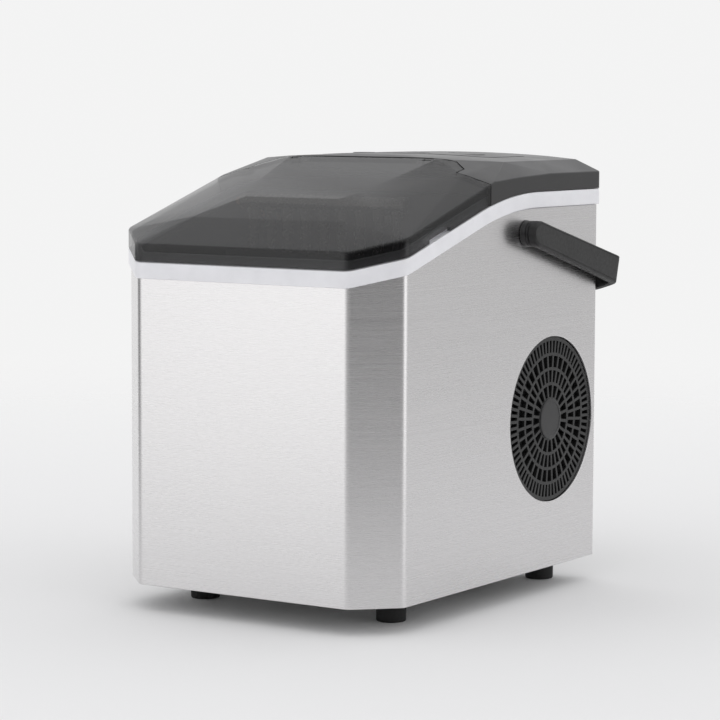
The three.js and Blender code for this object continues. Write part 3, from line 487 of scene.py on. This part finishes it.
KNEE_ANGLE = math.atan(SLOPE)
KNEE_REACH = KNEE_RADIUS * math.tan(KNEE_ANGLE / 2)
ARC_START = KNEE_Y - KNEE_REACH * math.cos(KNEE_ANGLE)
ARC_END = KNEE_Y + KNEE_REACH


def band_line(y):
    """Height of the band's top edge: a slope, a long bend and a level rear."""
    if y <= ARC_START:
        return FRONT_BAND_TOP + SLOPE * y
    if y >= ARC_END:
        return BAND_TOP
    return BAND_TOP - KNEE_RADIUS + math.sqrt(KNEE_RADIUS**2 - (y - ARC_END) ** 2)


def below(lift):
    """Everything under the band line, raised or lowered by lift."""
    ys = [-40, *[ARC_START + (ARC_END - ARC_START) * i / 40 for i in range(41)], DEPTH + 40]
    outline = [Vector((y, band_line(y) + lift)) for y in ys]
    outline += [Vector((DEPTH + 40, -10)), Vector((-40, -10))]
    return prism(outline, -HALF - 30, HALF + 30, "x")


def ring_of(profile, name):
    """A ring round the case from (grow, height above the band line) pairs."""
    rings = [[place(p.x, p.y, band_line(p.y) + rise) for p in case_outline(grow)]
             for grow, rise in profile]
    return loft(name, rings)


# ------------------------------------------------------------------ shell
VENT = centre_of("vent_grille")
VENT_RADIUS = 58.4
PIVOT = centre_of("handle_boss_right")
PLUG = centre_of("drain_plug")


def shell():
    rings = [
        [place(p.x, p.y, FOOT) for p in case_outline(-SHEET)],
        [place(p.x, p.y, FOOT) for p in case_outline(-0.3)],
        [place(p.x, p.y, FOOT + 0.3) for p in case_outline(0)],
    ]
    top = -BAND_HEIGHT - GAP
    rings.append([place(p.x, p.y, band_line(p.y) + top) for p in case_outline(0)])
    rings.append([place(p.x, p.y, band_line(p.y) + top) for p in case_outline(-SHEET)])
    wall = loft("shell_skin", rings)
    lip_out = VENT_RADIUS + 1
    opening = rounded([(-96, 38, 3), (96, 38, 3), (96, 240, 3), (-96, 240, 3)])
    cut(wall,
        rod("x", lip_out - 0.2, HALF - 5, HALF + 5, VENT.y, VENT.z, 128),
        rod("x", 3, -HALF - 5, -HALF + 5, PIVOT.y, PIVOT.z),
        rod("x", 3, HALF - 5, HALF + 5, PIVOT.y, PIVOT.z),
        rod("x", 8, -HALF - 5, -HALF + 5, PLUG.y, PLUG.z),
        prism(opening, DEPTH - 5, DEPTH + 5, "y"))
    lip = [(VENT_RADIUS, HALF - 2.2), (VENT_RADIUS, HALF - 0.75), (VENT_RADIUS + 0.12, HALF - 0.35),
           (VENT_RADIUS + 0.4, HALF - 0.1), (VENT_RADIUS + 0.8, HALF - 0.01),
           (lip_out, HALF - 0.01), (lip_out, HALF - 2.2)]
    rings = []
    for radius, along in lip:
        rings.append([place(along, p.x, p.y) for p in circle(radius, 128, VENT.y, VENT.z)])
    join(wall, loft("rim", rings))
    fit(wall, "shell_skin", STEEL, "case", "brushed_steel", "shell", angle=25)


def trim_band():
    profile = [
        (-4.6, 0), (-4.6, RIB_HEIGHT), (-3.2, RIB_HEIGHT), (-3.2, -0.2), (-3.0, -0.5),
        (-2.6, -0.5), (-2.4, -0.2), (-2.4, 0), (1.0, 0), (1.4, -0.1), (1.7, -0.4), (1.8, -0.8),
        (1.8, -10.2), (1.7, -10.6), (1.4, -10.9), (1.0, -11), (-1.2, -11), (-1.2, -17),
        (-3.2, -17), (-3.2, -11), (-6, -11), (-6, 0),
    ]
    fit(ring_of(profile, "band"), "white_band", WHITE, "case", "white_trim", "trim_band", angle=40)


# ------------------------------------------------------------------ lid and rear cover
SKIRT_BENDS = [(KNEE_Y - 19.8, BAND_TOP + 9.1), (KNEE_Y + 12.2, BAND_TOP + 11.3),
               (KNEE_Y + 55.2, BAND_TOP + 13)]
LOWER_WINDOW = [(50, 31), (37, 52), (27, 98), (20, LID_SHOULDER)]
UPPER_WINDOW = [(74, 60), (65, 76), (56, 119), (51, LID_REAR - 4)]
SHOULDERS = [(1.4, KNEE_Y + 18, DEPTH - 2, BAND_TOP + 14),
             (12, KNEE_Y + 15, DEPTH - 10, BAND_TOP + 21)]


def skirt_top(y):
    stations = [(0, FRONT_BAND_TOP + 12.8), *SKIRT_BENDS]
    if y >= stations[-1][0]:
        return stations[-1][1]
    following = max(1, next(i for i, s in enumerate(stations) if s[0] > y))
    (ya, za), (yb, zb) = stations[following - 1], stations[following]
    return za + (zb - za) * (y - ya) / (yb - ya)


def crown(x):
    return BAND_TOP + CROWN_RISE - CROWN_DROP * x * x


def top_form(inset=0.0, radius=1.4):
    """Lid and cover together as one convex form, or the hollow inside it."""
    points = []
    inset += radius

    def both(x, y, z):
        points.extend((place(x, y, z - inset), place(-x, y, z - inset)))

    side = HALF + OVERHANG - inset
    for p in case_outline(OVERHANG - inset):
        points.append(place(p.x, p.y, skirt_top(p.y) - inset))
        points.append(place(p.x, p.y, 0))
    for y, z in SKIRT_BENDS:
        both(side, y, z)
    line = lambda y: FRONT_BAND_TOP + SLOPE * y
    for border, y in LOWER_WINDOW:
        both(HALF - border, y, line(y) + 20.8)
    for border, y in UPPER_WINDOW:
        both(HALF - border, y, line(y) + 25.8)
    for border, front, rear, z in SHOULDERS:
        both(HALF - border - inset, front, z)
        both(HALF - border - inset, rear - inset, z)
    for x in range(0, 80, 5):
        both(x, KNEE_Y + (8 if x > 50 else 1), crown(x))
        both(x, DEPTH - 7 - inset, crown(x))
    return hull(points, radius)


def lid_plan(back):
    wide = HALF + 20
    notch = NOTCH_X - back
    tail = BARREL_HALF - back / 2
    shoulder = LID_SHOULDER - back
    outline = [(-wide, -20), (wide, -20), (wide, shoulder), (notch, shoulder),
               (notch, shoulder + 10), (tail, LID_REAR - back), (-tail, LID_REAR - back),
               (-notch, shoulder + 10), (-notch, shoulder), (-wide, shoulder)]
    return prism([Vector(p) for p in outline], 0, HIGH)


def lid():
    cover = cut(top_form(), top_form(TOP_WALL, 0))
    keep(cover, lid_plan(0))
    cut(cover, below(SEAM),
        block(-BARREL_HALF, BARREL_HALF, HINGE_Y, LID_REAR + 5, HINGE_Z - 30, HIGH))
    barrel = keep(rod("x", HINGE_RADIUS, -BARREL_HALF, BARREL_HALF, HINGE_Y, HINGE_Z), top_form())
    join(cover, barrel)
    middle = sum(KNUCKLE) / 2
    half = (KNUCKLE[1] - KNUCKLE[0]) / 2 + GAP
    for sign in (-1, 1):
        slot = block(sign * middle - half, sign * middle + half, HINGE_Y - HINGE_RADIUS - 1.4,
                     LID_REAR + 5, HINGE_Z - 30, HIGH)
        bore = rod("x", 2, sign * middle - 11, sign * middle + 11, HINGE_Y, HINGE_Z, 32)
        cut(cover, slot, bore)
    grip = keep(block(-HALF - 10, HALF + 10, 52, 78, 0, HIGH), below(SEAM + 2.5))
    cut(cover, grip)
    fit(cover, "smoked_lid", SMOKE, "lid", "smoke", "lid", angle=12)


CONTROL_FRONT, CONTROL_REAR, CONTROL_HALF = KNEE_Y + 40, KNEE_Y + 98, 72


def control_outline(grow):
    x, y0, y1, r = CONTROL_HALF + grow, CONTROL_FRONT - grow, CONTROL_REAR + grow, 10 + grow
    return rounded([(-x, y0, r), (x, y0, r), (x, y1, r), (-x, y1, r)])


def top_cover():
    cover = cut(top_form(), top_form(TOP_WALL, 0), lid_plan(-SEAM), below(GAP))
    shelf = block(-66, 66, LID_REAR + SEAM + 0.2, LID_REAR + 6, HINGE_Z - 3.2, HINGE_Z + 2)
    join(cover, shelf)
    for sign in (-1, 1):
        low, high = sorted((sign * KNUCKLE[0], sign * KNUCKLE[1]))
        eye = rod("x", HINGE_RADIUS - 0.2, low, high, HINGE_Y, HINGE_Z)
        stem = block(low, high, HINGE_Y - 1, LID_REAR + 6, HINGE_Z - 3.2, HINGE_Z - 0.8)
        join(cover, join(eye, stem))
        cut(cover, rod("x", 1.9, low - 1, high + 1, HINGE_Y, HINGE_Z, 32))
    cut(cover, prism(control_outline(GAP), 0, HIGH))
    fit(cover, "rear_cover", BLACK, "case", "black_satin", "top_cover", angle=12)


# ------------------------------------------------------------------ vent grille
def vent_grille():
    rings = [0.24, 0.426, 0.606, 0.783, 0.965]
    spokes = [20, 36, 36, 72]
    face, back = HALF - 1.6, HALF - 5.0
    curve = bpy.data.curves.new("grille", "CURVE")
    curve.dimensions = "2D"
    curve.fill_mode = "BOTH"
    soft = 0.3
    curve.extrude = (face - back) / 2 - soft
    curve.bevel_depth = soft
    curve.bevel_resolution = 2

    def add_loop(points):
        spline = curve.splines.new("POLY")
        spline.points.add(len(points) - 1)
        for point, p in zip(spline.points, points):
            point.co = (p.x, p.y, 0, 1)
        spline.use_cyclic_u = True

    add_loop(circle(VENT_RADIUS - GAP - soft, 128))
    for ring, count in enumerate(spokes):
        inner = rings[ring] * VENT_RADIUS + (0.8 if ring == 0 else 0.55) + soft
        outer = rings[ring + 1] * VENT_RADIUS - 0.55 - soft
        for i in range(count):
            middle, half = 2 * math.pi * i / count, math.pi / count
            loop = []
            for radius, way in ((outer, 1), (inner, -1)):
                reach = half - (0.5 + soft) / radius
                steps = max(3, round(reach * radius / 1.2))
                for k in range(-steps, steps + 1):
                    turn = middle + way * reach * k / steps
                    loop.append(Vector((radius * math.cos(turn), radius * math.sin(turn))))
            add_loop(loop)
    plate = bpy.data.objects.new("grille", curve)
    bpy.context.scene.collection.objects.link(plate)
    bpy.context.view_layer.update()
    graph = bpy.context.evaluated_depsgraph_get()
    mesh = bpy.data.meshes.new_from_object(plate.evaluated_get(graph))
    bpy.data.objects.remove(plate)
    grille = bpy.data.objects.new("grille", mesh)
    bpy.context.scene.collection.objects.link(grille)
    stand = Matrix(((0, 0, 1, (face + back) / 2), (1, 0, 0, FRONT + VENT.y),
                    (0, 1, 0, VENT.z), (0, 0, 0, 1)))
    mesh.transform(stand)
    fit(grille, "vent_bars", GRILLE, "case", "black_satin", "vent_grille", angle=35)
    hub = lathe("hub", [(0, face - 2), (14.6, face - 2), (14.6, face + 0.3), (14.3, face + 0.65),
                        (13.8, face + 0.8), (12.4, face + 0.8), (12.1, face + 0.55),
                        (0, face + 0.55)], (0, VENT.y, VENT.z), (1, 0, 0))
    fit(hub, "vent_hub", BLACK, "case", "black_satin", angle=30)
    flange = lathe("flange", [(VENT_RADIUS - 0.6, back), (VENT_RADIUS + 5, back),
                              (VENT_RADIUS + 5, back + 2.2), (VENT_RADIUS - 0.6, back + 2.2),
                              (VENT_RADIUS - 0.6, back)],
                   (0, VENT.y, VENT.z), (1, 0, 0))
    fit(flange, "vent_flange", GRILLE, "case", "black_satin", angle=30)


# ------------------------------------------------------------------ handle
DROOP = math.radians(15)
REACH = 121.5
THICK = 6.0
ARM_OUTER = HALF + 7 + THICK


def handle_point(x, along, up):
    """A point given in the handle's own level frame, with the handle at rest."""
    y = PIVOT.y + along * math.cos(DROOP) + up * math.sin(DROOP)
    z = PIVOT.z - along * math.sin(DROOP) + up * math.cos(DROOP)
    return place(x, y, z)


def handle_section(half, hollow):
    """Half of the channel section as (depth from the outer face, height) pairs."""
    rim = 2.2
    back = THICK - hollow
    return [
        (0.0, half * 0.5), (0.0, half - 2.1), (0.28, half - 1.95), (0.28, half - 1.65),
        (0.0, half - 1.5), (0.1, half - 1.0), (0.5, half - 0.45), (1.6, half - 0.05),
        (THICK - 0.7, half), (THICK - 0.2, half - 0.2), (THICK, half - 0.7),
        (THICK, half - rim + 0.1), (back, half - rim - 0.1), (back, half * 0.2),
    ]


def handle_stations():
    """(x, along, outward normal, half height, hollow) from the right pivot to the left."""
    right = []
    end = 9.0
    for k in range(9):
        turn = math.radians(15 + 75 * k / 8)
        right.append((ARM_OUTER, -end * math.cos(turn), (1, 0), end * math.sin(turn), 0))
    corner = 8.0
    for along, half, hollow in ((14, 9, 0), (17, 9, 0), (18, 9.02, 3.8), (40, 9.3, 3.8),
                                (70, 9.65, 3.8), (100, 10, 3.8), (REACH - corner, 10.2, 3.8)):
        right.append((ARM_OUTER, along, (1, 0), half, hollow))
    for k in range(1, 9):
        turn = math.radians(90 * k / 8)
        normal = (math.cos(turn), math.sin(turn))
        x = ARM_OUTER - corner + corner * normal[0]
        right.append((x, REACH - corner + corner * normal[1], normal, grip_half(x), 3.8))
    for x in (114, 111, 108, 105, 101, 96, 60):
        right.append((x, REACH, (0, 1), grip_half(x), 3.8))
    left = [(-x, along, (-n[0], n[1]), half, hollow) for x, along, n, half, hollow in right[::-1]]
    return right + left


def grip_half(x):
    share = max(0.0, min(1.0, (ARM_OUTER - abs(x)) / 22))
    return 10.2 + 5.3 * share * share * (3 - 2 * share)


def handle():
    rings = []
    for x, along, normal, half, hollow in handle_stations():
        upper = handle_section(half, hollow)
        ring = []
        for depth, height in upper + [(d, -h) for d, h in upper[::-1]]:
            ring.append(handle_point(x - normal[0] * depth, along - normal[1] * depth, height))
        rings.append(ring)
    bail = loft("bail", rings, False, True, True)
    fit(bail, "carry_handle", GRAIN, "handle", "black_grain", "handle", angle=28)


def handle_bosses():
    for side, sign in (("left", -1), ("right", 1)):
        a = HALF + GAP
        b = HALF + 7 - GAP
        profile = [(0, a), (9.3, a), (9.3, a + 0.5), (9.0, a + 1.0), (8.9, b - 2.2), (8.5, b - 2.1),
                   (8.5, b - 1.7), (9.0, b - 1.6), (9.0, b - 0.7), (8.7, b - 0.6), (8.7, b - 0.2),
                   (8.4, b), (0, b)]
        boss = lathe("boss", profile, (0, PIVOT.y, PIVOT.z), (sign, 0, 0))
        fit(boss, f"handle_pivot_{side}", BLACK, "case", "black_satin", f"handle_boss_{side}")


# ------------------------------------------------------------------ turned pieces
def feet():
    for end in ("front", "rear"):
        for side in ("left", "right"):
            node = f"foot_{end}_{side}"
            at = centre_of(node)
            low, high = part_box(node)
            top = FOOT - 0.3
            profile = [(0, 0), (6.5, 0), (6.8, 0.9), (7.4, 0.9), (7.7, 0), (9.0, 0), (9.7, 0.25),
                       (10.1, 1.0), (10.3, top - 2), (10.3, top - 0.5), (10.0, top), (3, top),
                       (3, high.z / MM), (0, high.z / MM)]
            foot = lathe("foot", profile, (at.x, at.y, 0), (0, 0, 1))
            fit(foot, f"rubber_{node}", RUBBER, "case", "rubber", node)


def drain_plug():
    face = HALF + GAP
    profile = [(0, HALF - 12), (3.6, HALF - 12), (3.6, face), (8.4, face), (9, face + 0.6),
               (9, face + 2.8), (8.2, face + 4.1), (3.6, face + 4.1), (3, face + 4.6),
               (3, HALF + 7.2), (2.4, HALF + 8), (0, HALF + 8)]
    plug = lathe("plug", profile, (0, PLUG.y, PLUG.z), (-1, 0, 0))
    fit(plug, "rubber_drain_plug", RUBBER, "plug", "rubber", "drain_plug")


def cord_gland():
    at = centre_of("cord_gland")
    profile = [(3.6, DEPTH - 8), (9, DEPTH - 8), (9, DEPTH + GAP), (12.6, DEPTH + GAP),
               (13, DEPTH + 0.9), (13, DEPTH + 2.4), (12.4, DEPTH + 3), (7.6, DEPTH + 3),
               (7, DEPTH + 3.6), (7, DEPTH + 6.5), (6.5, DEPTH + 7), (4.2, DEPTH + 7),
               (3.6, DEPTH + 6.5), (3.6, DEPTH - 8)]
    gland = lathe("gland", profile, (at.x, 0, at.z), (0, 1, 0))
    fit(gland, "inlet_gland", BLACK, "case", "black_satin", "cord_gland")


def buttons():
    for node, body in (("power_button", "power_key"), ("size_button", "size_key"),
                       ("clean_button", "clean_key")):
        at = centre_of(node)
        low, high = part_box(node)
        top = crown(at.x)
        profile = [(0, low.z / MM), (2, low.z / MM), (2, top - 4), (8.5, top - 4), (8.5, top),
                   (8.3, top + 0.4), (7.9, top + 0.6), (6.6, top + 0.6), (5.4, top + 0.45),
                   (3.0, top + 0.3), (0, top + 0.25)]
        key = lathe("key", profile, (at.x, at.y, 0), (0, 0, 1))
        fit(key, f"{node}_cap", KEY_GREY, body, "grey_plastic", node)


# ------------------------------------------------------------------ carried-over CAD nodes
CAD_LOOKS = [
    (ZINC, 0.3, ["base_pan", "panel_screw_1", "panel_screw_2", "panel_screw_3", "panel_screw_4",
                 "hinge_pin_left", "hinge_pin_right", "handle_screw_left", "handle_screw_right",
                 "tray_drive_shaft", "compressor_bracket", "fan_motor", "motor_bracket"]),
    (BLACK, 0.35, ["rear_panel", "fan_shroud"]),
    (BLACK, 0.2, ["control_panel"]),
    (CLEAR, 0.3, ["ice_full_lens", "add_water_lens", "ice_basket", "water_tray"]),
    (BOARD, 0.2, ["display_board", "control_board"]),
    (TUB, 0.5, ["ice_tub"]),
    (FOAM, 0.0, ["insulation_foam"]),
    (NICKEL, 0.4, ["evaporator", "hot_gas_valve"]),
    (KEY_GREY, 0.3, ["tray_gearmotor", "ice_chute", "water_level_sensor", "fan_blade"]),
    (COMPRESSOR, 0.3, ["compressor", "ice_full_sensor", "water_pump"]),
    (RUBBER, 0.3, ["compressor_grommet_1", "compressor_grommet_2", "compressor_grommet_3"]),
    (ALUMINIUM, 0.1, ["condenser"]),
    (COPPER, 0.0, ["filter_drier", "capillary_tube", "suction_line", "discharge_line",
                   "hot_gas_line"]),
    (SILICONE, 0.0, ["pump_hose"]),
]


def dress_frame():
    for material, bevel, names in CAD_LOOKS:
        for name in names:
            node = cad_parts[name]
            node.data.materials.clear()
            node.data.materials.append(material)
            shade(node, bevel, 40)


# ------------------------------------------------------------------ camera, floor and light
def camera():
    yaw, pitch, roll = math.radians(33.14), math.radians(5.53), math.radians(0.21)
    ahead = Vector((-math.sin(yaw) * math.cos(pitch), math.cos(yaw) * math.cos(pitch),
                    -math.sin(pitch)))
    level = Vector((math.cos(yaw), math.sin(yaw), 0))
    upward = level.cross(ahead)
    right = level * math.cos(roll) + upward * math.sin(roll)
    up = upward * math.cos(roll) - level * math.sin(roll)
    data = bpy.data.cameras.new("camera")
    data.sensor_width = 36
    data.lens = 138.75
    data.clip_end = 50
    view = bpy.data.objects.new("camera", data)
    bpy.context.scene.collection.objects.link(view)
    turn = Matrix((right, up, -ahead)).transposed().to_4x4()
    view.matrix_world = Matrix.Translation(place(1061.82, -1482.2, 352.85) * MM) @ turn
    bpy.context.scene.camera = view


def floor():
    rim = 2.0
    disc = [Vector((rim * math.cos(t), rim * math.sin(t), 0))
            for t in (2 * math.pi * i / 96 for i in range(96))]
    ground = new_object("floor", disc, [tuple(range(96))])
    material = bpy.data.materials.new("paper")
    material.use_nodes = True
    nodes, links = material.node_tree.nodes, material.node_tree.links
    shader = nodes["Principled BSDF"]
    shader.inputs["Base Color"].default_value = (0.86, 0.86, 0.86, 1)
    shader.inputs["Roughness"].default_value = 0.9
    shader.inputs["Specular IOR Level"].default_value = 0.1
    where = nodes.new("ShaderNodeTexCoord").outputs["Object"]
    length = nodes.new("ShaderNodeVectorMath")
    length.operation = "LENGTH"
    fade = nodes.new("ShaderNodeMapRange")
    fade.interpolation_type = "SMOOTHSTEP"
    fade.inputs["From Min"].default_value = 0.3
    fade.inputs["From Max"].default_value = 1.8
    fade.inputs["To Min"].default_value = 1
    fade.inputs["To Max"].default_value = 0
    links.new(where, length.inputs[0])
    links.new(length.outputs["Value"], fade.inputs["Value"])
    links.new(fade.outputs["Result"], shader.inputs["Alpha"])
    ground.data.materials.append(material)


# Brightness of the studio round the horizon, by compass angle in degrees from +X.
HORIZON = [(-180, 0.30), (-168, 0.12), (-150, 0.45), (-136, 1.05), (-123, 1.45), (-110, 1.0),
           (-90, 0.35), (-60, 0.12), (-33, 0.10), (-12, 0.30), (4, 1.4), (18, 1.4), (34, 0.66),
           (60, 0.62), (90, 0.75), (110, 0.90), (150, 0.90), (170, 0.6), (180, 0.30)]
# And overhead, by the sine of the height.
OVERHEAD = [(0.0, 0.0), (0.10, 0.0), (0.38, 1.0), (1.0, 1.0)]


def studio():
    world = bpy.data.worlds.new("studio")
    bpy.context.scene.world = world
    world.use_nodes = True
    nodes, links = world.node_tree.nodes, world.node_tree.links
    background = nodes["Background"]
    split = nodes.new("ShaderNodeSeparateXYZ")
    links.new(nodes.new("ShaderNodeTexCoord").outputs["Generated"], split.inputs["Vector"])
    compass = nodes.new("ShaderNodeMath")
    compass.operation = "ARCTAN2"
    links.new(split.outputs["Y"], compass.inputs[0])
    links.new(split.outputs["X"], compass.inputs[1])
    share = nodes.new("ShaderNodeMapRange")
    share.inputs["From Min"].default_value = -math.pi
    share.inputs["From Max"].default_value = math.pi
    links.new(compass.outputs["Value"], share.inputs["Value"])

    def ramp(stops, source):
        node = nodes.new("ShaderNodeValToRGB")
        elements = node.color_ramp.elements
        while len(elements) < len(stops):
            elements.new(1.0)
        for element, (position, value) in zip(elements, stops):
            element.position = position
            element.color = (value / 2, value / 2, value / 2, 1)
        links.new(source, node.inputs["Fac"])
        return node.outputs["Color"]

    horizon = ramp([((a + 180) / 360, v) for a, v in HORIZON], share.outputs["Result"])
    rise = ramp([(s, 2 * v) for s, v in OVERHEAD], split.outputs["Z"])
    mix = nodes.new("ShaderNodeMix")
    mix.data_type = "RGBA"
    links.new(rise, mix.inputs["Factor"])
    links.new(horizon, mix.inputs[6])
    mix.inputs[7].default_value = (0.5, 0.5, 0.505, 1)
    links.new(mix.outputs[2], background.inputs["Color"])
    background.inputs["Strength"].default_value = 2.0


# ------------------------------------------------------------------ assembly
camera()
floor()
studio()
bpy.context.scene.view_settings.view_transform = "Standard"
shell()
trim_band()
lid()
top_cover()
vent_grille()
handle()
handle_bosses()
feet()
drain_plug()
cord_gland()
buttons()
dress_frame()
